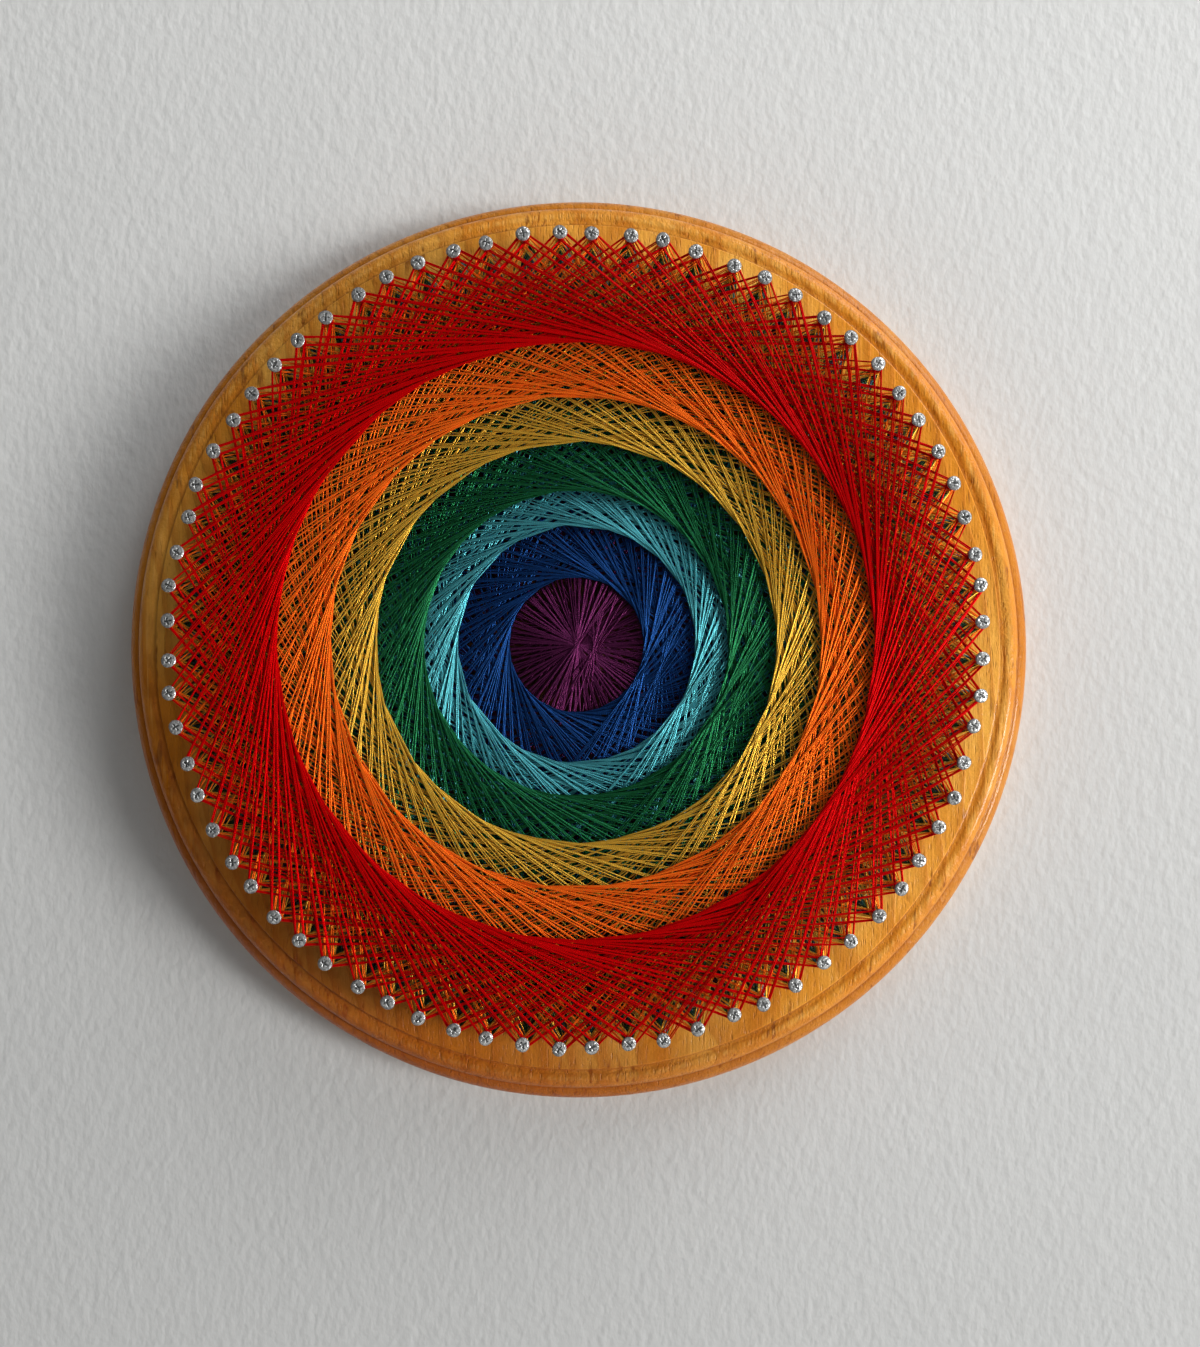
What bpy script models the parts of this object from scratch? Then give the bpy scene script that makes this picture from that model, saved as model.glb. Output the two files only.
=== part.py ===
"""Rainbow string art on a round wooden board.

A turned pine plaque carries a ring of round-headed nails.  Seven colours of thread are wound between
the nails, each colour as one family of chords, so that every colour leaves a round hole in its middle
and the colour below shows through it.

Every piece is modelled lying flat, with its own +Z pointing away from the wall, and is then stood up
by a quarter turn about X: the board's back lies in the plane Y = 0 and its face looks along -Y.
"""

import math

import bmesh
import bpy
from mathutils import Matrix, Vector

# Board: a round plaque with a routed edge.
BOARD_RADIUS = 0.125
BOARD_THICKNESS = 0.018
FACE_RADIUS = 0.1155           # flat part of the face
STEP_DEPTH = 0.0012            # first groove, where the flat face ends
RIDGE_RADIUS = 0.1180          # crest of the raised bead
GROOVE_RADIUS = 0.1212         # second groove, outside the bead
GROOVE_DEPTH = 0.0036
RIM_DEPTH = 0.0085             # depth at which the board is widest
BACK_CHAMFER = 0.0012
BOARD_STEPS = 96

# Nails: hand set in a ring, so slightly uneven.
NAIL_COUNT = 72
NAIL_RING_RADIUS = 0.1063
NAIL_PHASE = math.radians(2.5)
NAIL_PROUD = 0.016             # top of the head above the board's face
NAIL_SUNK = 0.006              # length of the shaft inside the wood
SHAFT_RADIUS = 0.00065
NAIL_SIDES = 10
HEAD_RADIUS = 0.0019
HEAD_THICKNESS = 0.0008
HEAD_DOME = 0.0002             # rise of the head's middle above its rim
ANGLE_WOBBLE = math.radians(0.22)
RADIUS_WOBBLE = 0.00025

# Thread: each colour is a web of chords that skip a fixed number of nails.
THREAD_RADIUS = 0.00015
WEB_THICKNESS = 0.0012
WEB_PITCH = 0.0016             # from one web's middle to the next one's
TOP_WEB_DROP = 0.0019          # middle of the top web below the top of the heads
SHAFT_GAP = 0.0004             # from a web's tips to the nails
INNER_POINTS = 72

# Webs from the top down: name, nails skipped by a chord, colour.
WEBS = (
    ("web_red", 17, (0.55, 0.005, 0.012)),
    ("web_orange", 21, (0.78, 0.15, 0.012)),
    ("web_yellow", 24, (0.80, 0.50, 0.040)),
    ("web_green", 27, (0.005, 0.16, 0.045)),
    ("web_light_blue", 29, (0.18, 0.55, 0.58)),
    ("web_blue", 32, (0.005, 0.075, 0.38)),
    ("web_purple", 36, (0.22, 0.008, 0.13)),
)

NAIL_PITCH = 2.0 * math.pi / NAIL_COUNT
BOARD_NAME = "board_with_nails"
PART_NAME = "string_art"


def clear_scene():
    """Remove the objects of the scene that the script starts in."""
    for item in list(bpy.data.objects):
        bpy.data.objects.remove(item, do_unlink=True)


def make_collection(name):
    """Make a collection in the scene."""
    collection = bpy.data.collections.new(name)
    bpy.context.scene.collection.children.link(collection)
    return collection


def make_material(name, colour, roughness, metallic=0.0):
    """Make a plain Principled material."""
    material = bpy.data.materials.new(name)
    material.use_nodes = True
    shader = material.node_tree.nodes["Principled BSDF"]
    shader.inputs["Base Color"].default_value = (*colour, 1.0)
    shader.inputs["Roughness"].default_value = roughness
    shader.inputs["Metallic"].default_value = metallic
    return material


def add_object(name, data, collection, material):
    """Link a new object that stands upright, facing -Y."""
    item = bpy.data.objects.new(name, data)
    item.rotation_euler = (math.radians(90.0), 0.0, 0.0)
    data.materials.append(material)
    collection.objects.link(item)
    return item


def profile_mesh(name, points):
    """Make an open line of (radius, height) points in the XZ plane, for a Screw modifier."""
    mesh = bpy.data.meshes.new(name)
    vertices = [(radius, 0.0, height) for radius, height in points]
    edges = [(index, index + 1) for index in range(len(points) - 1)]
    mesh.from_pydata(vertices, edges, [])
    return mesh


def add_screw(item, steps):
    """Turn the object's profile once about its own Z."""
    screw = item.modifiers.new("turn", "SCREW")
    screw.axis = "Z"
    screw.steps = steps
    screw.render_steps = steps
    screw.use_merge_vertices = True
    screw.merge_threshold = 0.00001
    return screw


def arc(centre, radii, start, end, count):
    """List points along an elliptical arc of the profile, its ends included."""
    points = []
    for index in range(count):
        angle = math.radians(start + (end - start) * index / (count - 1))
        points.append((centre[0] + radii[0] * math.cos(angle), centre[1] + radii[1] * math.sin(angle)))
    return points


def board_profile():
    """Outline of the board from the middle of its face, round the routed edge, to its back."""
    top = BOARD_THICKNESS
    bead_foot = top - GROOVE_DEPTH
    rim_height = top - RIM_DEPTH
    points = [(0.0, top), (FACE_RADIUS, top), (FACE_RADIUS + 0.0003, top - STEP_DEPTH)]
    bead_width = GROOVE_RADIUS - RIDGE_RADIUS
    points += arc((RIDGE_RADIUS, bead_foot), (bead_width, GROOVE_DEPTH - 0.0004), 100.0, 0.0, 6)
    rim_width = BOARD_RADIUS - GROOVE_RADIUS
    points += arc((GROOVE_RADIUS, rim_height), (rim_width, RIM_DEPTH - GROOVE_DEPTH), 84.0, 0.0, 6)
    points += [
        (BOARD_RADIUS, BACK_CHAMFER * 2.0),
        (BOARD_RADIUS - BACK_CHAMFER, 0.0),
        (0.0, 0.0),
    ]
    return points


def nail_profile():
    """Outline of one nail from the top of its head to the tip inside the wood."""
    head_top = BOARD_THICKNESS + NAIL_PROUD
    rim_top = head_top - HEAD_DOME
    underside = head_top - HEAD_THICKNESS
    tip = BOARD_THICKNESS - NAIL_SUNK
    return [
        (0.0, head_top),
        (HEAD_RADIUS, rim_top),
        (HEAD_RADIUS, underside),
        (SHAFT_RADIUS, underside),
        (SHAFT_RADIUS, tip),
        (0.0, tip),
    ]


def nail_place(index):
    """Angle and radius of one nail: an even ring plus a small hand-made wobble."""
    angle = NAIL_PHASE + index * NAIL_PITCH
    angle += ANGLE_WOBBLE * (math.sin(2.3 * index) + 0.6 * math.sin(5.1 * index + 1.0))
    radius = NAIL_RING_RADIUS
    radius += RADIUS_WOBBLE * (math.sin(1.7 * index + 0.5) + 0.6 * math.sin(4.3 * index))
    return angle, radius


def polar(angle, radius):
    """Point of the face plane at an angle and a radius."""
    return Vector((radius * math.cos(angle), radius * math.sin(angle), 0.0))


def web_outline(step):
    """Toothed outer edge of a web: a blunt tip at each nail and a valley where outer chords cross."""
    lean = (step - 1) * NAIL_PITCH / 2.0
    side_shift = SHAFT_RADIUS + THREAD_RADIUS
    chord_distance = NAIL_RING_RADIUS * math.cos(lean) + side_shift
    valley_radius = chord_distance / math.cos(lean - NAIL_PITCH / 2.0)
    tip_depth = SHAFT_RADIUS + SHAFT_GAP
    tip_half = lean - math.acos(chord_distance / (NAIL_RING_RADIUS - tip_depth))
    points = []
    for index in range(NAIL_COUNT):
        angle, radius = nail_place(index)
        next_angle = nail_place((index + 1) % NAIL_COUNT)[0]
        if next_angle < angle:
            next_angle += 2.0 * math.pi
        points.append(polar(angle - tip_half, radius - tip_depth))
        points.append(polar(angle + tip_half, radius - tip_depth))
        points.append(polar((angle + next_angle) / 2.0, valley_radius))
    return points


def web_hole(step):
    """Round inner edge of a web, where its innermost chords are tangent, or nothing at the centre."""
    side_shift = SHAFT_RADIUS + 2.0 * THREAD_RADIUS
    radius = NAIL_RING_RADIUS * math.cos(step * NAIL_PITCH / 2.0) - side_shift
    if radius <= 0.0:
        return []
    return [polar(2.0 * math.pi * index / INNER_POINTS, radius) for index in range(INNER_POINTS)]


def add_loop(curve, points):
    """Add one closed straight-edged spline to a 2D curve."""
    spline = curve.splines.new("POLY")
    spline.points.add(len(points) - 1)
    for target, point in zip(spline.points, points):
        target.co = (point.x, point.y, 0.0, 1.0)
    spline.use_cyclic_u = True


def add_web(name, step, level, colour, collection):
    """Make one colour's web as a thin flat plate at its height above the board's back."""
    curve = bpy.data.curves.new(name, "CURVE")
    curve.dimensions = "2D"
    curve.fill_mode = "BOTH"
    curve.extrude = WEB_THICKNESS / 2.0
    add_loop(curve, web_outline(step))
    hole = web_hole(step)
    if hole:
        add_loop(curve, hole)
    item = add_object(name, curve, collection, make_material(name + "_thread", colour, 0.45))
    item.location = (0.0, -level, 0.0)
    return item


def add_nail_ring(collection, material):
    """Make all the nails as one mesh of separate turned bodies."""
    source = add_object("nail_pattern", profile_mesh("nail_pattern", nail_profile()), collection, material)
    add_screw(source, NAIL_SIDES)
    bpy.context.view_layer.update()
    evaluated = source.evaluated_get(bpy.context.evaluated_depsgraph_get())
    pattern = bpy.data.meshes.new_from_object(evaluated)
    bpy.data.objects.remove(source, do_unlink=True)

    shape = bmesh.new()
    for index in range(NAIL_COUNT):
        known = set(shape.verts)
        shape.from_mesh(pattern)
        fresh = [vertex for vertex in shape.verts if vertex not in known]
        angle, radius = nail_place(index)
        place = Matrix.Translation(polar(angle, radius)) @ Matrix.Rotation(angle, 4, "Z")
        bmesh.ops.transform(shape, matrix=place, verts=fresh)
    mesh = bpy.data.meshes.new("nail_ring")
    shape.to_mesh(mesh)
    shape.free()
    ring = add_object("nail_ring", mesh, collection, material)
    ring.hide_render = True
    ring.display_type = "WIRE"
    return ring


def add_board(collection, cutters):
    """Make the turned board and fuse the nails to it."""
    wood = make_material("varnished_wood", (0.55, 0.24, 0.045), 0.35)
    steel = make_material("nail_steel", (0.55, 0.55, 0.55), 0.35, 1.0)
    board = add_object(BOARD_NAME, profile_mesh(BOARD_NAME, board_profile()), collection, wood)
    add_screw(board, BOARD_STEPS)
    union = board.modifiers.new("nails", "BOOLEAN")
    union.operation = "UNION"
    union.solver = "EXACT"
    union.object = add_nail_ring(cutters, steel)
    return board


def main():
    """Build the whole part."""
    clear_scene()
    parts = make_collection(PART_NAME)
    cutters = make_collection("cutters")
    add_board(parts, cutters)
    top_level = BOARD_THICKNESS + NAIL_PROUD - TOP_WEB_DROP
    for place, (name, step, colour) in enumerate(WEBS):
        add_web(name, step, top_level - place * WEB_PITCH, colour, parts)


main()
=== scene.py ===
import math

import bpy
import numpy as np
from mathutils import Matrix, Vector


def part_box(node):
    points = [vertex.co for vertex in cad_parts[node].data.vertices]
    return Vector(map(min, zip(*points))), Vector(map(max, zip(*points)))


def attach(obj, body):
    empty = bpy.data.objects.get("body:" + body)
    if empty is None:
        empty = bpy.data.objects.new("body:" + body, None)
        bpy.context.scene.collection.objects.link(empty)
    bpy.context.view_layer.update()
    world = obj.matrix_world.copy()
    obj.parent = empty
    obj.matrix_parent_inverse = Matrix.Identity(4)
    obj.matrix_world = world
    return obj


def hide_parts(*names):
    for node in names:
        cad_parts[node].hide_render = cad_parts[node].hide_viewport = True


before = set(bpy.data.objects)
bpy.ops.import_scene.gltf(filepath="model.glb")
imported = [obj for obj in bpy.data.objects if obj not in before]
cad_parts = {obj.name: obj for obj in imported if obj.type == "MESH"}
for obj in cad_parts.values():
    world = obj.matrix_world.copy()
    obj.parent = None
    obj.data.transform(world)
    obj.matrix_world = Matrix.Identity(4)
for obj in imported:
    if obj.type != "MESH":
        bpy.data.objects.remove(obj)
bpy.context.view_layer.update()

# Looks of the rainbow string art: a varnished plaque, a ring of nails and seven wound colours.
# Shapes are worked out lying flat, as (x, y, height above the plaque's back), and then stood up so
# that the face looks along -Y.  Lengths are in metres.

# Plaque
PLAQUE_RADIUS = 0.125
PLAQUE_THICKNESS = 0.018
FACE_RADIUS = 0.1155
STEP_DEPTH = 0.0012
RIDGE_RADIUS = 0.1180
GROOVE_RADIUS = 0.1212
GROOVE_DEPTH = 0.0036
BEAD_DROP = 0.0004             # top of the bead below the face
RIM_DEPTH = 0.0085
BACK_CHAMFER = 0.0012
PLAQUE_SIDES = 288
LIP_RADIUS = 0.0004            # rounding between the face and the step
EDGE_WAVER = 0.0014            # how far the stained bands of the edge wander with the grain
WOOD_SHADE_FADE = (0.091, 0.106)       # radii between which the painted shade under the webs fades out
LOWER_LEFT_SHADE_FADE = (0.045, 0.118)     # distances down to the left between which the painted shade deepens

# Nails
NAIL_COUNT = 72
NAIL_PITCH = 2.0 * math.pi / NAIL_COUNT
NAIL_RING_RADIUS = 0.1063
NAIL_PHASE = math.radians(2.5)
NAIL_PROUD = 0.016
NAIL_SUNK = 0.003
SHAFT_RADIUS = 0.00065
HEAD_RADIUS = 0.0019
HEAD_THICKNESS = 0.0008
CROWN_DROP = 0.00022           # fall of the head from its middle towards its rim
NAIL_SIDES = 20
ANGLE_WOBBLE = math.radians(0.22)
RADIUS_WOBBLE = 0.00025

# Threads
THREAD_SIDES = 6
TWIST_PITCH = 0.0011           # one turn of the plies along a thread
LAYER_RISE = 0.00026           # from one layer of crossing runs to the next above it
ROUND_RISE = 0.00040           # climb from a colour's first run to its last
REACH_SPREAD = 0.00055         # how loosely the turns sit on the nails
SEAM_ANGLE = math.radians(316.0)       # where every colour's thread starts and ends
LAST_SHARE = 0.16              # share of a colour's runs that are lifted over its first ones
LAST_LIFT = 2.6                # how far they are lifted, in parts of their own dip
PURPLE_PILE = 0.0008           # height of the heap where the purple strands cross
PILE_REACH = 0.009             # and its radius
LOWER_WEB_SHADE = 0.72         # how much painted shade darkens the dye on the webs below the yellow
THREAD_SHADE_FADE = (0.070, 0.092)     # radii between which the painted shade on the lower webs sets in


# ---------------------------------------------------------------- meshes

def stand_up(points):
    """Turn flat (x, y, height) points into world points, the height running out along -Y."""
    x, y, height = np.moveaxis(np.asarray(points, dtype=float), -1, 0)
    return np.stack([x, -height, y], axis=-1)


def tube_faces(rows, columns):
    """Quads of a grid closed around its columns, facing outwards.

    The vertex (row, column) has the index row * columns + column.
    """
    row, column = np.meshgrid(np.arange(rows - 1), np.arange(columns), indexing="ij")
    next_column = (column + 1) % columns
    corners = [(row + 1) * columns + column, (row + 1) * columns + next_column,
               row * columns + next_column, row * columns + column]
    return np.stack(corners, axis=-1).reshape(-1, 4)


def end_faces(rows, columns, start=0):
    """The two faces that close the ends of such a grid, whose first vertex has the index start."""
    last = start + (rows - 1) * columns
    return [list(range(start, start + columns)), list(range(last, last + columns))[::-1]]


def add_piece(name, points, faces, material, smooth=True):
    """Make a mesh object at the origin from world points and faces."""
    mesh = bpy.data.meshes.new(name)
    mesh.from_pydata(np.asarray(points).reshape(-1, 3), [], [list(map(int, face)) for face in faces])
    mesh.polygons.foreach_set("use_smooth", np.full(len(mesh.polygons), smooth))
    mesh.materials.append(material)
    mesh.update()
    piece = bpy.data.objects.new(name, mesh)
    bpy.context.scene.collection.objects.link(piece)
    return piece


def set_corner_uv(mesh, uv):
    """Write one UV pair for each face corner."""
    layer = mesh.uv_layers.new(name="UVMap")
    layer.data.foreach_set("uv", np.asarray(uv, dtype=np.float32).ravel())


def set_point_value(mesh, name, values):
    """Write one number for each vertex as a named attribute."""
    layer = mesh.attributes.new(name, "FLOAT", "POINT")
    layer.data.foreach_set("value", np.asarray(values, dtype=np.float32).ravel())


# ---------------------------------------------------------------- shader helpers

def feed(tree, value, socket):
    """Link an output into an input, or set the input to a constant."""
    if isinstance(value, bpy.types.NodeSocket):
        tree.links.new(value, socket)
    else:
        socket.default_value = value


def maths(tree, operation, *values):
    """Add a Math node and return its output."""
    node = tree.nodes.new("ShaderNodeMath")
    node.operation = operation
    for value, socket in zip(values, node.inputs):
        feed(tree, value, socket)
    return node.outputs[0]


def mix_colour(tree, factor, low, high):
    """Mix two colours by a factor and return the colour."""
    node = tree.nodes.new("ShaderNodeMix")
    node.data_type = "RGBA"
    for value, socket in ((factor, node.inputs[0]), (low, node.inputs[6]), (high, node.inputs[7])):
        feed(tree, rgba(value), socket)
    return node.outputs[2]


def rgba(value):
    """Give a three-part colour its alpha, and leave anything else as it is."""
    return (*value, 1.0) if isinstance(value, tuple) and len(value) == 3 else value


def map_range(tree, value, low, high, to_low=0.0, to_high=1.0, smooth=False):
    """Rescale a value from one range to another, clamped."""
    node = tree.nodes.new("ShaderNodeMapRange")
    node.interpolation_type = "SMOOTHSTEP" if smooth else "LINEAR"
    for item, socket in zip((value, low, high, to_low, to_high), node.inputs):
        feed(tree, item, socket)
    return node.outputs[0]


def noise(tree, vector, scale, detail=3.0, roughness=0.5):
    """Noise value around one half."""
    node = tree.nodes.new("ShaderNodeTexNoise")
    feed(tree, vector, node.inputs["Vector"])
    node.inputs["Scale"].default_value = scale
    node.inputs["Detail"].default_value = detail
    node.inputs["Roughness"].default_value = roughness
    return node.outputs["Fac"]


def stretched(tree, vector, factors):
    """The vector with each part times its factor; below one draws a pattern out along that part."""
    node = tree.nodes.new("ShaderNodeVectorMath")
    node.operation = "MULTIPLY"
    tree.links.new(vector, node.inputs[0])
    node.inputs[1].default_value = factors
    return node.outputs[0]


def object_parts(tree):
    """Object coordinates, and their three parts."""
    place = tree.nodes.new("ShaderNodeTexCoord").outputs["Object"]
    part = tree.nodes.new("ShaderNodeSeparateXYZ")
    tree.links.new(place, part.inputs[0])
    return place, tuple(part.outputs)


def distance_from_axis(tree, x, z):
    """sqrt(x^2 + z^2): how far a point is from the middle."""
    square = maths(tree, "ADD", maths(tree, "MULTIPLY", x, x), maths(tree, "MULTIPLY", z, z))
    return maths(tree, "SQRT", square)


def band(tree, value, middle, half_width, strength=1.0, core=0.0):
    """Strength at a middle value, fading out smoothly from core to half_width away from it."""
    away = maths(tree, "ABSOLUTE", maths(tree, "SUBTRACT", value, middle))
    return map_range(tree, away, core, half_width, strength, 0.0, smooth=True)


def new_material(name, **values):
    """Make a material and return it with its tree and its Principled shader."""
    material = bpy.data.materials.new(name)
    material.use_nodes = True
    shader = material.node_tree.nodes["Principled BSDF"]
    for socket, value in values.items():
        shader.inputs[socket.replace("_", " ")].default_value = rgba(value)
    return material, material.node_tree, shader


def add_bump(tree, shader, height, strength, distance):
    """Drive the shader's normal from a height."""
    node = tree.nodes.new("ShaderNodeBump")
    node.inputs["Strength"].default_value = strength
    node.inputs["Distance"].default_value = distance
    tree.links.new(height, node.inputs["Height"])
    tree.links.new(node.outputs[0], shader.inputs["Normal"])


def new_group(name, inputs, outputs):
    """Make a shader node group with named sockets and return it with its two end nodes."""
    group = bpy.data.node_groups.new(name, "ShaderNodeTree")
    for label, kind in inputs:
        group.interface.new_socket(label, in_out="INPUT", socket_type=kind)
    for label, kind in outputs:
        group.interface.new_socket(label, in_out="OUTPUT", socket_type=kind)
    return group, group.nodes.new("NodeGroupInput"), group.nodes.new("NodeGroupOutput")


def use_group(tree, group, **values):
    """Place a node group in a material with its own values."""
    node = tree.nodes.new("ShaderNodeGroup")
    node.node_tree = group
    for name, value in values.items():
        feed(tree, rgba(value), node.inputs[name.replace("_", " ")])
    return node


# ---------------------------------------------------------------- varnished wood

def wood_grain_group():
    """Flat-sawn softwood: growth rings round a pith behind the plaque, fibres and pores along Z."""
    group, start, end = new_group(
        "wood grain",
        [("Ring Spacing", "NodeSocketFloat")],
        [("Late Wood", "NodeSocketFloat"), ("Fibre", "NodeSocketFloat"), ("Blotch", "NodeSocketFloat"),
         ("Pore", "NodeSocketFloat")])
    place, (x, y, z) = object_parts(group)
    slow = noise(group, stretched(group, place, (1.0, 1.0, 0.35)), 22.0, 3.0, 0.55)
    fine = noise(group, stretched(group, place, (1.0, 1.0, 0.22)), 120.0, 2.0, 0.5)
    shift = maths(group, "MULTIPLY_ADD", slow, 0.020, maths(group, "MULTIPLY", fine, 0.0022))
    across = maths(group, "ADD", maths(group, "MULTIPLY_ADD", z, 0.16, x), -0.030)
    behind = maths(group, "ADD", maths(group, "MULTIPLY_ADD", z, 0.05, y), -0.062)
    square = maths(group, "ADD", maths(group, "MULTIPLY", across, across),
                   maths(group, "MULTIPLY", behind, behind))
    reach = maths(group, "ADD", maths(group, "SQRT", square), shift)
    ring = maths(group, "FRACT", maths(group, "DIVIDE", reach, start.outputs["Ring Spacing"]))
    rise = map_range(group, ring, 0.35, 0.88, smooth=True)
    fall = map_range(group, ring, 0.90, 1.0, 1.0, 0.0, smooth=True)
    late = maths(group, "MULTIPLY", rise, fall)
    fibre = noise(group, stretched(group, place, (1.0, 1.0, 0.045)), 1500.0, 2.0, 0.6)
    blotch = noise(group, stretched(group, place, (1.0, 1.0, 0.5)), 38.0, 3.0, 0.6)
    pore = noise(group, stretched(group, place, (1.0, 1.0, 0.16)), 1900.0, 1.0)
    pore = map_range(group, pore, 0.60, 0.74)
    for name, value in (("Late Wood", late), ("Fibre", fibre), ("Blotch", blotch), ("Pore", pore)):
        feed(group, value, end.inputs[name])
    return group


def routed_edge_colour(tree, colour, place, radius, fibre):
    """The routed edge: darker outwards, dashed, darker in both grooves, the ridge between worn pale."""
    edge = map_range(tree, radius, FACE_RADIUS, GROOVE_RADIUS, 0.0, 0.55)
    colour = mix_colour(tree, edge, colour, (0.60, 0.190, 0.018))
    rim = map_range(tree, radius, GROOVE_RADIUS - 0.0006, GROOVE_RADIUS + 0.0010, 0.0, 0.40, True)
    colour = mix_colour(tree, rim, colour, (0.44, 0.140, 0.006))
    dash = noise(tree, stretched(tree, place, (1.0, 1.0, 0.2)), 420.0, 2.0, 0.6)
    share = map_range(tree, radius, FACE_RADIUS - 0.004, FACE_RADIUS, 0.15, 0.8)
    dash = maths(tree, "MULTIPLY", map_range(tree, dash, 0.62, 0.70), share)
    colour = mix_colour(tree, dash, colour, (0.26, 0.070, 0.008))

    # Both grooves are darker.
    groove = band(tree, radius, GROOVE_RADIUS, 0.0008, 0.6)
    step = band(tree, radius, FACE_RADIUS + 0.0003, 0.0007, 0.45)
    colour = mix_colour(tree, maths(tree, "MAXIMUM", groove, step), colour, (0.30, 0.085, 0.010))
    worn = band(tree, radius, RIDGE_RADIUS, 0.0011)
    worn = maths(tree, "MULTIPLY", worn, map_range(tree, fibre, 0.42, 0.62))
    return mix_colour(tree, maths(tree, "MULTIPLY", worn, 0.5), colour, (1.0, 0.55, 0.13))


def varnished_wood():
    """Orange-brown stained pine under an uneven coat of varnish.

    The face has painted shade under the threads, and painted shade that deepens low on the left.
    The back and the lower side have the grain only.
    """
    material, tree, shader = new_material(
        "varnished wood", Coat_Weight=0.20, Coat_Roughness=0.09, Coat_IOR=1.5, Specular_IOR_Level=0.14)
    grain = use_group(tree, wood_grain_group(), Ring_Spacing=0.0042)
    late, fibre, blotch, pore = grain.outputs
    pale = map_range(tree, blotch, 0.40, 0.60)
    pale = mix_colour(tree, pale, (0.84, 0.31, 0.022), (1.0, 0.51, 0.085))
    dark = (0.56, 0.165, 0.010)
    colour = mix_colour(tree, maths(tree, "MULTIPLY", late, 0.5), pale, dark)
    streak = map_range(tree, fibre, 0.30, 0.75, 0.0, 0.34)
    colour = mix_colour(tree, streak, colour, (0.66, 0.205, 0.018))
    colour = mix_colour(tree, maths(tree, "MULTIPLY", pore, 0.22), colour, (0.30, 0.085, 0.010))
    place, (x, y, z) = object_parts(tree)
    waver = maths(tree, "SUBTRACT", blotch, 0.5)
    front = map_range(tree, y, -0.004, -0.002, 1.0, 0.0)
    radius = maths(tree, "MULTIPLY_ADD", waver, EDGE_WAVER, distance_from_axis(tree, x, z))
    radius = maths(tree, "MULTIPLY", radius, front)

    colour = routed_edge_colour(tree, colour, place, radius, fibre)
    # Painted shade under the webs on the face, fading out towards the nails.
    painted_shade = map_range(tree, radius, *WOOD_SHADE_FADE, 0.90, 0.0, smooth=True)
    colour = mix_colour(tree, maths(tree, "MULTIPLY", painted_shade, front), colour, (0.045, 0.014, 0.003))
    # Painted shade on the face, deeper down to the left.
    aside = maths(tree, "MULTIPLY_ADD", z, -0.85, maths(tree, "MULTIPLY", x, -0.55))
    aside = maths(tree, "MULTIPLY_ADD", waver, 0.02, aside)
    lower_left_shade = maths(tree, "MULTIPLY", map_range(tree, aside, *LOWER_LEFT_SHADE_FADE, 0.0, 0.75), front)
    colour = mix_colour(tree, lower_left_shade, colour, (0.30, 0.050, 0.002))
    feed(tree, colour, shader.inputs["Base Color"])
    feed(tree, map_range(tree, fibre, 0.3, 0.7, 0.26, 0.46), shader.inputs["Roughness"])

    height = maths(tree, "MULTIPLY_ADD", fibre, 0.7, maths(tree, "MULTIPLY", pore, -0.5))
    height = maths(tree, "MULTIPLY_ADD", late, 0.35, height)
    uneven = map_range(tree, radius, FACE_RADIUS, FACE_RADIUS + 0.001, 1.6, 2.8)
    runs = maths(tree, "MULTIPLY", noise(tree, place, 330.0, 3.0, 0.65), uneven)
    height = maths(tree, "ADD", height, runs)
    add_bump(tree, shader, height, 0.7, 0.00030)
    return material


# ---------------------------------------------------------------- nails

def nail_metal():
    """Dull zinc-coated steel: a struck head with a scored cross, painted shade in the marks and in a
    ring round the rim.
    """
    material, tree, shader = new_material("nail metal", Metallic=0.8, Specular_IOR_Level=0.5)
    uv = tree.nodes.new("ShaderNodeUVMap").outputs["UV"]
    part = tree.nodes.new("ShaderNodeSeparateXYZ")
    tree.links.new(uv, part.inputs[0])
    u, v = part.outputs[0], part.outputs[1]
    place = tree.nodes.new("ShaderNodeTexCoord").outputs["Object"]
    wander = maths(tree, "MULTIPLY", maths(tree, "SUBTRACT", noise(tree, place, 900.0, 2.0), 0.5), 0.5)
    radius = distance_from_axis(tree, u, v)
    inside = map_range(tree, radius, 0.42, 0.66, 1.0, 0.0, smooth=True)
    line_u = band(tree, maths(tree, "ADD", u, wander), 0.0, 0.22, core=0.07)
    line_v = band(tree, maths(tree, "SUBTRACT", v, wander), 0.0, 0.18, core=0.05)
    score = maths(tree, "MAXIMUM", line_u, maths(tree, "MULTIPLY", line_v, 0.8))
    score = maths(tree, "MULTIPLY", score, inside)
    dents = noise(tree, place, 1300.0, 2.0, 0.6)
    rim = band(tree, radius, 0.90, 0.13, core=0.02)
    # Painted shade: darker in the scored cross and in a ring round the head's rim.
    painted_shade = maths(tree, "MAXIMUM", score, maths(tree, "MULTIPLY", rim, 0.6))
    dull = map_range(tree, dents, 0.38, 0.62)
    colour = mix_colour(tree, dull, (0.82, 0.82, 0.81), (0.30, 0.31, 0.31))
    colour = mix_colour(tree, maths(tree, "MULTIPLY", painted_shade, 0.85), colour, (0.06, 0.06, 0.06))
    feed(tree, colour, shader.inputs["Base Color"])
    feed(tree, map_range(tree, dents, 0.35, 0.65, 0.20, 0.42), shader.inputs["Roughness"])
    height = maths(tree, "MULTIPLY_ADD", score, -0.9, dents)
    add_bump(tree, shader, height, 0.85, 0.0003)
    return material


def nail_place(index):
    """Angle and radius of the nails: an even ring plus two small sine waves in each."""
    angle = NAIL_PHASE + index * NAIL_PITCH
    angle = angle + ANGLE_WOBBLE * (np.sin(2.3 * index) + 0.6 * np.sin(5.1 * index + 1.0))
    radius = NAIL_RING_RADIUS + RADIUS_WOBBLE * (np.sin(1.7 * index + 0.5) + 0.6 * np.sin(4.3 * index))
    return angle, radius


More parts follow.
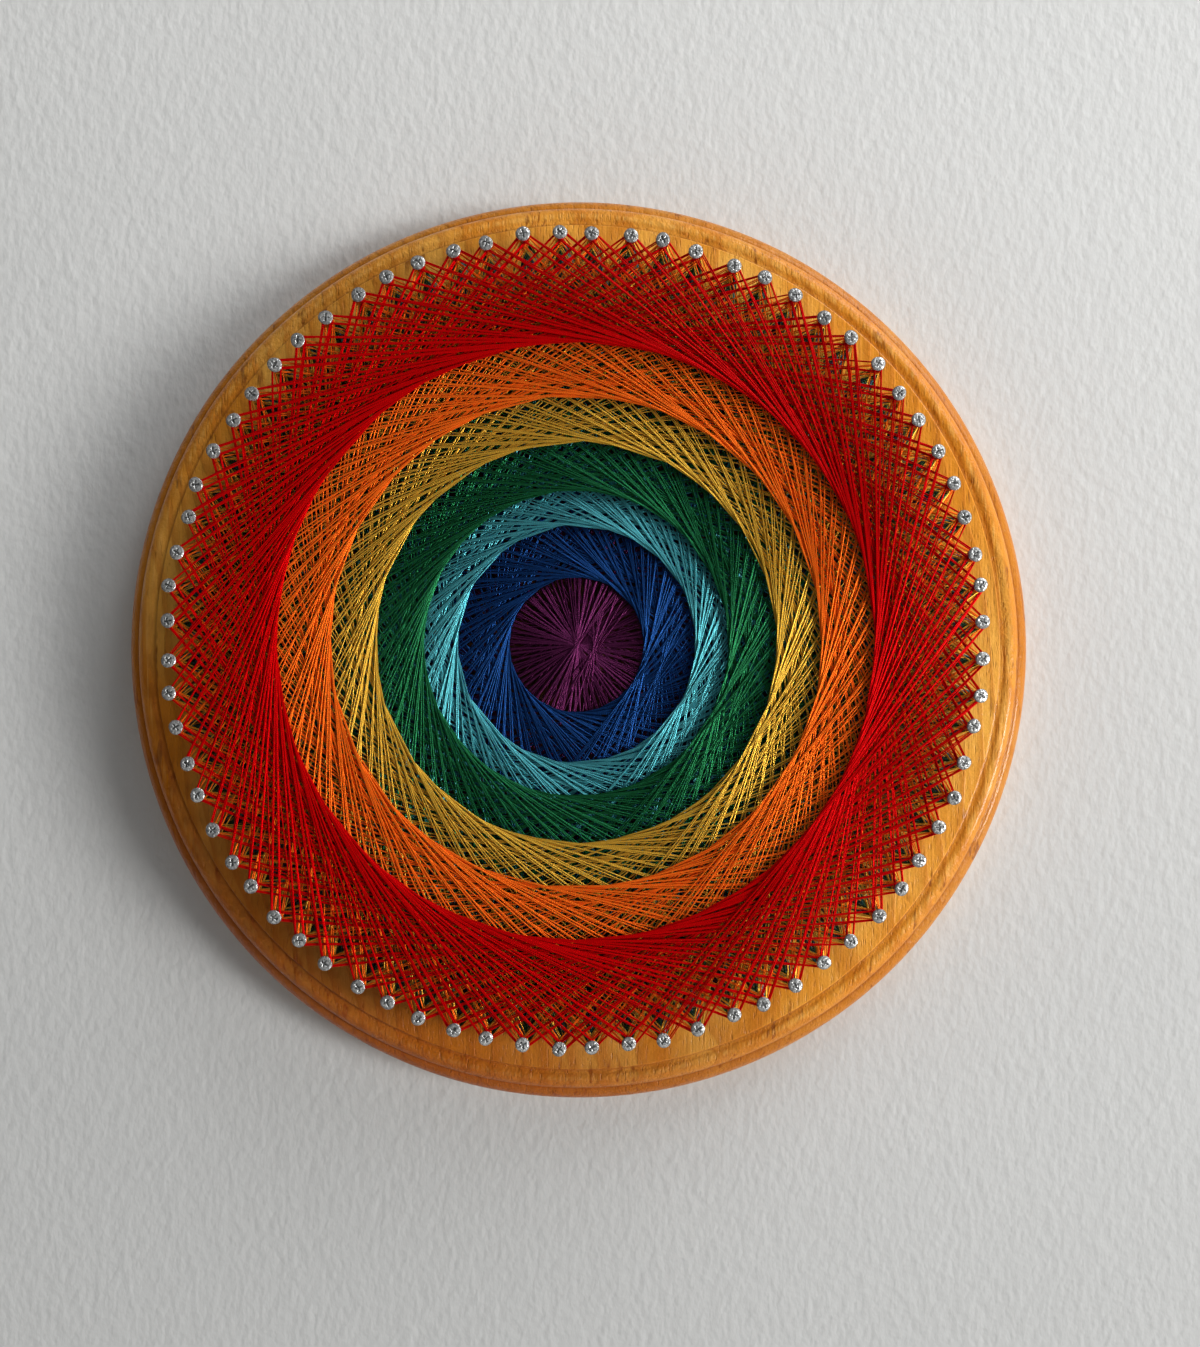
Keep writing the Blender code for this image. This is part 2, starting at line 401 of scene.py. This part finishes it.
def nail_centres():
    """Centre of every nail in the face plane, as an array of (x, y)."""
    angle, radius = nail_place(np.arange(NAIL_COUNT, dtype=float))
    return np.stack([radius * np.cos(angle), radius * np.sin(angle)], axis=-1)


def nail_outline():
    """Profile of one nail, (radius, height above the plaque's face), from its head to the wood."""
    top = NAIL_PROUD
    neck = top - HEAD_THICKNESS
    crown = [(HEAD_RADIUS * part, top - CROWN_DROP * part ** 2)
             for part in (0.05, 0.25, 0.5, 0.72, 0.88)]
    rim = [(HEAD_RADIUS * 0.97, top - 0.00027), (HEAD_RADIUS, top - 0.00042),
           (HEAD_RADIUS * 0.97, top - 0.0006)]
    under = [(HEAD_RADIUS * 0.6, neck), (SHAFT_RADIUS * 1.15, neck - 0.0003)]
    shaft = [(SHAFT_RADIUS, neck - 0.0009), (SHAFT_RADIUS, -NAIL_SUNK), (0.0001, -NAIL_SUNK)]
    return np.array(crown + rim + under + shaft)


def build_nails(material):
    """All the nails as one mesh: each profile turned in NAIL_SIDES steps, dented and leaned a little.

    Point = centre + height * lean + radius * (1 + dent) * (cos a, sin a), with the height off the face.
    The heads are tilted as well. UV = the flat head's own (x, y) in head radii, turned at random, so
    that the struck cross points a different way on each.
    """
    sides = NAIL_SIDES
    rng = np.random.default_rng(7)
    outline = nail_outline()
    rows = len(outline)
    turn = np.arange(sides) * 2.0 * math.pi / sides
    spin = rng.uniform(0.0, 2.0 * math.pi, NAIL_COUNT)
    lean = rng.normal(0.0, 0.012, (NAIL_COUNT, 2))
    dent_phase = rng.uniform(0.0, 2.0 * math.pi, (NAIL_COUNT, 2))
    around = turn[None, None, :] + spin[:, None, None]
    dent = 0.030 * np.sin(2.0 * around + dent_phase[:, :1, None])
    dent = dent + 0.018 * np.sin(3.0 * around + dent_phase[:, 1:, None])
    reach = outline[None, :, 0, None] * (1.0 + dent)
    height = np.broadcast_to(outline[None, :, 1, None], reach.shape)
    centres = nail_centres()
    x = centres[:, 0, None, None] + lean[:, 0, None, None] * height + reach * np.cos(around)
    y = centres[:, 1, None, None] + lean[:, 1, None, None] * height + reach * np.sin(around)
    tilt = rng.normal(0.0, 0.045, (NAIL_COUNT, 2))
    head = (np.arange(rows) < rows - 3)[None, :, None]
    slope = tilt[:, 0, None, None] * np.cos(around) + tilt[:, 1, None, None] * np.sin(around)
    height = height + np.where(head, reach * slope, 0.0)
    points = stand_up(np.stack([x, y, height + PLAQUE_THICKNESS], axis=-1))
    starts = np.arange(NAIL_COUNT) * rows * sides
    faces = (tube_faces(rows, sides) + starts[:, None, None]).reshape(-1, 4).tolist()
    for start in starts:
        faces += end_faces(rows, sides, start)
    piece = add_piece("nails", points, faces, material)
    flat_u = (outline[None, :, 0, None] * np.cos(around) / HEAD_RADIUS).ravel()
    flat_v = (outline[None, :, 0, None] * np.sin(around) / HEAD_RADIUS).ravel()
    corner = np.empty(len(piece.data.loops), dtype=np.int32)
    piece.data.loops.foreach_get("vertex_index", corner)
    mark_turn = np.repeat(-spin + rng.normal(0.0, 0.35, NAIL_COUNT), rows * sides)
    u = flat_u * np.cos(mark_turn) - flat_v * np.sin(mark_turn)
    v = flat_u * np.sin(mark_turn) + flat_v * np.cos(mark_turn)
    set_corner_uv(piece.data, np.stack([u[corner], v[corner]], axis=-1))
    return piece


# ---------------------------------------------------------------- plaque

def arc(centre, radii, start, end, count):
    """Points (radius, height) along an elliptical arc, its ends included."""
    angle = np.radians(np.linspace(start, end, count))
    return np.asarray(centre) + np.stack([radii[0] * np.cos(angle), radii[1] * np.sin(angle)], axis=-1)


def plaque_outline():
    """Profile of the plaque, (radius, height), from the middle of its face to that of its back."""
    top = PLAQUE_THICKNESS
    lip_start = FACE_RADIUS - LIP_RADIUS
    face = np.stack([np.linspace(0.0005, lip_start, 14), np.full(14, top)], axis=-1)
    lip = arc((lip_start, top - LIP_RADIUS), (LIP_RADIUS, LIP_RADIUS), 80.0, 10.0, 3)
    step = [[FACE_RADIUS + 0.0003, top - STEP_DEPTH]]
    bead = arc((RIDGE_RADIUS, top - GROOVE_DEPTH),
               (GROOVE_RADIUS - RIDGE_RADIUS, GROOVE_DEPTH - BEAD_DROP), 112.0, 0.0, 14)
    rim = arc((GROOVE_RADIUS, top - RIM_DEPTH),
              (PLAQUE_RADIUS - GROOVE_RADIUS, RIM_DEPTH - GROOVE_DEPTH), 84.0, 0.0, 12)
    side = [[PLAQUE_RADIUS, BACK_CHAMFER * 2.0],
            [PLAQUE_RADIUS - BACK_CHAMFER * 0.3, BACK_CHAMFER * 0.7],
            [PLAQUE_RADIUS - BACK_CHAMFER, 0.0]]
    back = np.stack([np.linspace(PLAQUE_RADIUS - 0.003, 0.0005, 8), np.zeros(8)], axis=-1)
    return np.concatenate([face, lip, step, bead, rim, side, back])


def build_plaque(material):
    """The plaque's profile turned in PLAQUE_SIDES steps, its routed edge uneven, both middles closed.

    Point = r (cos a, sin a), height + wave(a) on the routed edge, where wave is two slow sines.
    """
    sides = PLAQUE_SIDES
    outline = plaque_outline()
    rows = len(outline)
    turn = np.arange(sides) * 2.0 * math.pi / sides
    routed = (outline[:, 0] > FACE_RADIUS - 0.0005) & (outline[:, 1] > PLAQUE_THICKNESS - RIM_DEPTH)
    wave = 0.00008 * np.sin(5.0 * turn + 1.0) + 0.00006 * np.sin(13.0 * turn)
    x = outline[:, 0, None] * np.cos(turn)
    y = outline[:, 0, None] * np.sin(turn)
    height = outline[:, 1, None] + np.where(routed[:, None], wave[None, :], 0.0)
    points = stand_up(np.stack([x, y, height], axis=-1)).reshape(-1, 3)
    faces = tube_faces(rows, sides).tolist() + end_faces(rows, sides)
    return add_piece("plaque", points, faces, material)


# ---------------------------------------------------------------- threads

def ply_twist_group():
    """Two plies laid round each other: a ridge pattern from the length along and the turn around."""
    group, start, end = new_group(
        "ply twist", [("Pitch", "NodeSocketFloat")],
        [("Ridge", "NodeSocketFloat"), ("Shade", "NodeSocketFloat")])
    uv = group.nodes.new("ShaderNodeUVMap").outputs["UV"]
    part = group.nodes.new("ShaderNodeSeparateXYZ")
    group.links.new(uv, part.inputs[0])
    around, along = part.outputs[0], part.outputs[1]
    turns = maths(group, "DIVIDE", along, start.outputs["Pitch"])
    phase = maths(group, "MULTIPLY", maths(group, "ADD", turns, around), 4.0 * math.pi)
    ridge = maths(group, "MULTIPLY_ADD", maths(group, "SINE", phase), 0.5, 0.5)
    line = group.nodes.new("ShaderNodeCombineXYZ")
    group.links.new(along, line.inputs[0])
    shade = noise(group, line.outputs[0], 160.0, 3.0, 0.7)
    feed(group, maths(group, "POWER", ridge, 0.6), end.inputs["Ridge"])
    feed(group, shade, end.inputs["Shade"])
    return group


def thread_finish(name, tone, lustre, twist, painted_shade):
    """Lustrous twisted thread: its shine takes the dye's colour, the lay between the plies has painted
    shade.

    The lower webs get painted shade towards the nails, where the webs above would shade them.
    """
    light = tuple(1.28 * part for part in tone)
    dark = tuple(0.50 * part for part in tone)
    sheen = tuple(0.04 + 0.96 * part / max(tone) for part in tone)
    material, tree, shader = new_material(
        name + " thread", Metallic=lustre, Roughness=0.28, Specular_IOR_Level=0.2, Specular_Tint=sheen)
    ply = use_group(tree, twist, Pitch=TWIST_PITCH)
    strand = tree.nodes.new("ShaderNodeAttribute")
    strand.attribute_name = "strand"
    # Random tone per strand and along the length, and painted shade in the lay between the plies.
    tone_and_lay_shade = maths(tree, "MULTIPLY", strand.outputs["Fac"], 0.3)
    tone_and_lay_shade = maths(tree, "MULTIPLY_ADD", ply.outputs["Ridge"], 0.55, tone_and_lay_shade)
    tone_and_lay_shade = maths(tree, "MULTIPLY_ADD", ply.outputs["Shade"], 0.3, tone_and_lay_shade)
    colour = mix_colour(tree, maths(tree, "MINIMUM", tone_and_lay_shade, 1.0), dark, light)
    _, (x, _, z) = object_parts(tree)
    radius = distance_from_axis(tree, x, z)
    # Painted shade on the lower webs towards the nails.
    web_shade = map_range(tree, radius, *THREAD_SHADE_FADE, 0.0, painted_shade, smooth=True)
    colour = mix_colour(tree, web_shade, colour, (0.030, 0.018, 0.010))
    feed(tree, colour, shader.inputs["Base Color"])
    add_bump(tree, shader, ply.outputs["Ridge"], 0.3, 0.00006)
    return material


def winding_path(step, passes, thickness, level, pile):
    """Centre line of one colour's thread, wound clockwise round the ring from the seam.

    The thread runs from the inner side of nail a to the outer side of nail a - step, goes clockwise
    round it, runs from its inner side to the outer side of nail a, goes anticlockwise round that, and
    so on; the last of its passes goes back to nail a - 1 instead, where the same begins again.
    Each end of a straight run is nail centre - way * reach * left, where way is +1 or -1 for the two
    senses. Later runs lie on earlier ones: with time the share already wound, along a run
    height = level + layer * tanh(along / width) + ROUND_RISE * (time - 1/2), under its neighbours on
    the clockwise half and over them on the other, the longer runs outermost. The last runs also meet
    the very first, and their clockwise halves are lifted until they lie over those as well.
    Strands that cross near the middle are also heaped by pile * time * exp(-(radius / PILE_REACH)^2).
    """
    rng = np.random.default_rng(100 + step)
    centres = nail_centres()
    runs = passes * NAIL_COUNT
    first = int(round((SEAM_ANGLE + step * NAIL_PITCH / 2.0 - NAIL_PHASE) / NAIL_PITCH))
    pass_number = np.arange(runs + 1) // passes
    on_far_nail = np.arange(runs + 1) % 2
    stop = (first - pass_number - step * on_far_nail) % NAIL_COUNT
    way = 1.0 - 2.0 * on_far_nail
    centre = centres[stop]
    reach = SHAFT_RADIUS + 0.5 * thickness + rng.uniform(0.0, REACH_SPREAD, runs + 1)

    heading = centre[1:] - centre[:-1]
    length = np.linalg.norm(heading, axis=1, keepdims=True)
    heading /= length
    left = np.stack([-heading[:, 1], heading[:, 0]], axis=-1)
    run_start = centre[:-1] - (way[:-1] * reach[:-1])[:, None] * left
    run_end = centre[1:] - (way[1:] * reach[1:])[:, None] * left

    parts = np.array([0.0, 0.28, 0.40, 0.45, 0.48, 0.50, 0.52, 0.55, 0.60, 0.72, 1.0])
    straight = run_start[:, None, :] + (run_end - run_start)[:, None, :] * parts[None, :, None]
    outward = way[:-1, None]
    along = outward * (0.5 - parts[None, :]) * length
    closest = NAIL_RING_RADIUS * math.cos(math.pi * step / NAIL_COUNT)
    width = max(0.09 * closest, 0.0025)    # length over which a run goes from under to over
    moves_on = np.arange(runs)[:, None] % passes == passes - 1
    layer = LAYER_RISE * np.where(moves_on, 0.5, 1.5)    # the shorter runs stay between the others
    time = np.arange(runs)[:, None] / runs
    last = np.clip((time - 1.0 + LAST_SHARE) / LAST_SHARE, 0.0, 1.0)
    lean = layer * np.tanh(along / width)
    lift = np.where(lean < 0.0, -LAST_LIFT * lean * last, 0.0)
    radius = np.linalg.norm(straight, axis=-1)
    heap = pile * time * np.exp(-(radius / PILE_REACH) ** 2)
    run_height = level + lean + lift + ROUND_RISE * (time - 0.5) + heap

    swing = np.arctan2(-way[1:] * left[:, 1], -way[1:] * left[:, 0])
    leave = np.arctan2(-way[1:-1] * left[1:, 1], -way[1:-1] * left[1:, 0])
    leave = np.concatenate([leave, swing[-1:] + math.pi])
    sweep = way[1:] * np.mod(way[1:] * (leave - swing), 2.0 * math.pi)
    bend = np.linspace(0.0, 1.0, 8)[1:-1]
    angle = swing[:, None] + sweep[:, None] * bend[None, :]
    turn = np.stack([np.cos(angle), np.sin(angle)], axis=-1)
    turn = turn * reach[1:, None, None] + centre[1:, None, :]
    arrive = run_height[:, -1]
    depart = np.concatenate([run_height[1:, 0], arrive[-1:]])
    turn_height = arrive[:, None] + (depart - arrive)[:, None] * bend[None, :]

    flat = np.concatenate([straight, turn], axis=1)
    heights = np.concatenate([run_height, turn_height], axis=1)
    path = np.concatenate([flat, heights[..., None]], axis=-1).reshape(-1, 3)
    strand = np.repeat(rng.uniform(0.0, 1.0, runs), flat.shape[1])
    return path, strand


def build_thread(name, path, strand, thickness, material):
    """Sweep a round section along a path that lies nearly flat.

    Point = path + thickness / 2 * (cos a * side + sin a * crown), where side = tangent x up, the height
    axis is up, and crown = side x tangent. UV = (share of the turn round the section, length along).
    """
    tangent = np.gradient(path, axis=0)
    tangent /= np.linalg.norm(tangent, axis=1, keepdims=True)
    up = np.array([0.0, 0.0, 1.0])
    side = np.cross(tangent, up)
    side /= np.linalg.norm(side, axis=1, keepdims=True)
    crown = np.cross(side, tangent)
    turn = np.arange(THREAD_SIDES) * 2.0 * math.pi / THREAD_SIDES
    section = np.cos(turn)[None, :, None] * side[:, None, :]
    section = section + np.sin(turn)[None, :, None] * crown[:, None, :]
    points = stand_up(path[:, None, :] + 0.5 * thickness * section)
    rows = len(path)
    quads = tube_faces(rows, THREAD_SIDES)
    piece = add_piece(name, points, quads.tolist() + end_faces(rows, THREAD_SIDES), material)
    length = np.concatenate([[0.0], np.cumsum(np.linalg.norm(np.diff(path, axis=0), axis=1))])
    row = quads // THREAD_SIDES
    column = quads % THREAD_SIDES
    around = column / THREAD_SIDES
    around[:, 1:3] = np.where(column[:, 1:3] == 0, 1.0, around[:, 1:3])
    uv = np.stack([around, length[row]], axis=-1).reshape(-1, 2)
    set_corner_uv(piece.data, np.concatenate([uv, np.zeros((2 * THREAD_SIDES, 2))]))
    set_point_value(piece.data, "strand", np.repeat(strand, THREAD_SIDES))
    return piece


# ---------------------------------------------------------------- the object

COLOURS = (
    # name, nails skipped, passes at each nail, thickness, dye, lustre
    ("red", 17, 10, 0.00031, (0.54, 0.0010, 0.0020), 0.36),
    ("orange", 21, 4, 0.00032, (0.98, 0.160, 0.012), 0.45),
    ("yellow", 24, 4, 0.00029, (0.78, 0.450, 0.052), 0.70),
    ("green", 27, 4, 0.00032, (0.016, 0.150, 0.054), 0.90),
    ("light_blue", 29, 4, 0.00030, (0.100, 0.455, 0.515), 0.90),
    ("blue", 32, 4, 0.00032, (0.011, 0.052, 0.195), 0.90),
    ("purple", 36, 4, 0.00030, (0.105, 0.016, 0.070), 0.90),
)


def dress_object():
    """Replace every CAD node with its finished pieces."""
    plaque = build_plaque(varnished_wood())
    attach(plaque, "root")
    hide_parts("board_with_nails")
    nails = build_nails(nail_metal())
    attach(nails, "root")
    twist = ply_twist_group()
    for name, step, passes, thickness, tone, lustre in COLOURS:
        low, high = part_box("web_" + name)
        level = -(low[1] + high[1]) / 2.0
        pile = PURPLE_PILE if name == "purple" else 0.0
        path, strand = winding_path(step, passes, thickness, level, pile)
        # Painted shade for the webs below the yellow.
        painted_shade = LOWER_WEB_SHADE if step > 24 else 0.0
        finish = thread_finish(name, tone, lustre, twist, painted_shade)
        thread = build_thread("thread_" + name, path, strand, thickness, finish)
        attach(thread, "root")
        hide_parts("web_" + name)


# ---------------------------------------------------------------- studio

def wall_finish():
    """Rough plaster with painted light and shade, paler to the upper right, clear from behind so that
    the plaque's back shows.
    """
    material, tree, shader = new_material("backdrop", Roughness=0.85)
    place, (x, _, z) = object_parts(tree)
    trowelled = stretched(tree, place, (1.0, 1.0, 0.6))
    fine = noise(tree, trowelled, 520.0, 2.0, 0.45)
    relief = maths(tree, "ADD", fine, noise(tree, place, 210.0, 2.0))
    add_bump(tree, shader, relief, 0.22, 0.0011)
    # Painted light and shade: the plaster is paler to the upper right and darker to the lower left.
    painted_light_slope = maths(tree, "MULTIPLY_ADD", x, 0.55, z)
    painted_light_slope = maths(tree, "MULTIPLY_ADD", noise(tree, place, 14.0, 3.0), 0.12, painted_light_slope)
    paler = map_range(tree, painted_light_slope, -0.15, 0.26)
    colour = mix_colour(tree, paler, (0.585, 0.59, 0.585), (0.745, 0.75, 0.74))
    feed(tree, colour, shader.inputs["Base Color"])
    side = tree.nodes.new("ShaderNodeNewGeometry")
    clear = tree.nodes.new("ShaderNodeBsdfTransparent")
    choose = tree.nodes.new("ShaderNodeMixShader")
    tree.links.new(side.outputs["Backfacing"], choose.inputs[0])
    tree.links.new(shader.outputs[0], choose.inputs[1])
    tree.links.new(clear.outputs[0], choose.inputs[2])
    tree.links.new(choose.outputs[0], tree.nodes["Material Output"].inputs["Surface"])
    return material


def floor_finish():
    """Plain pale floor."""
    return new_material("floor", Base_Color=(0.72, 0.71, 0.69), Roughness=0.8)[0]


def add_stage():
    """A backdrop just behind the plaque and a floor far below it."""
    half, drop, gap = 1.6, 0.7, 0.0006
    wall = [(-half, gap, -drop), (half, gap, -drop), (half, gap, half), (-half, gap, half)]
    floor = [(-half, -2.4, -drop), (half, -2.4, -drop), (half, 2.4, -drop), (-half, 2.4, -drop)]
    for name, corners, material in (("backdrop", wall, wall_finish()),
                                    ("floor", floor, floor_finish())):
        piece = add_piece(name, np.array(corners), [(0, 1, 2, 3)], material, smooth=False)
        piece.visible_shadow = name == "floor"    # lets the light behind reach the plaque's back


def add_area_light(name, place, size, power, colour=(1.0, 1.0, 1.0)):
    """A square soft light aimed at the origin."""
    light = bpy.data.lights.new(name, "AREA")
    light.size = size
    light.energy = power
    light.color = colour
    lamp = bpy.data.objects.new(name, light)
    lamp.location = place
    lamp.rotation_euler = lamp.location.to_track_quat("Z", "Y").to_euler()
    bpy.context.scene.collection.objects.link(lamp)


ROOM_LOW = (0.020, 0.0205, 0.019)
ROOM_HIGH = (0.185, 0.188, 0.192)


def add_lights():
    """A window-like key from the right, a weak fill from above, and a lamp behind for the back."""
    add_area_light("key", (3.9, -2.48, -0.68), 1.35, 184.0, (1.0, 0.99, 0.97))
    add_area_light("top", (0.95, -0.62, 1.2), 1.0, 16.0, (0.98, 0.99, 1.0))
    add_area_light("behind", (0.4, 1.6, 0.5), 1.0, 10.0)


def add_surroundings():
    """Dim room light that grows paler towards the ceiling and the window side."""
    world = bpy.data.worlds.new("studio")
    world.use_nodes = True
    tree = world.node_tree
    part = tree.nodes.new("ShaderNodeSeparateXYZ")
    tree.links.new(tree.nodes.new("ShaderNodeTexCoord").outputs["Generated"], part.inputs[0])
    upwards = maths(tree, "MULTIPLY_ADD", part.outputs[0], 0.45, part.outputs[2])
    rise = map_range(tree, upwards, -0.35, 0.65, smooth=True)
    colour = mix_colour(tree, rise, ROOM_LOW, ROOM_HIGH)
    feed(tree, colour, tree.nodes["Background"].inputs["Color"])
    bpy.context.scene.world = world


def add_camera():
    """A level camera square to the wall, a little below and to the right of the plaque's middle."""
    frame_width, frame_height = 1200, 1347
    focal = 1.002 * frame_width
    distance, right, below = 0.337, 0.0116, 0.039
    camera = bpy.data.cameras.new("camera")
    camera.sensor_fit = "AUTO"
    camera.sensor_width = 36.0
    camera.lens = focal / frame_height * camera.sensor_width
    camera.shift_x = -0.015
    camera.shift_y = 0.0865
    camera.clip_start = 0.01
    viewer = bpy.data.objects.new("camera", camera)
    widest = -(PLAQUE_THICKNESS - RIM_DEPTH)
    viewer.location = (right, widest - distance, -below)
    viewer.rotation_euler = (math.radians(90.0), 0.0, 0.0)
    bpy.context.scene.collection.objects.link(viewer)
    bpy.context.scene.camera = viewer


dress_object()
add_stage()
add_lights()
add_surroundings()
add_camera()
bpy.context.scene.view_settings.view_transform = "Standard"
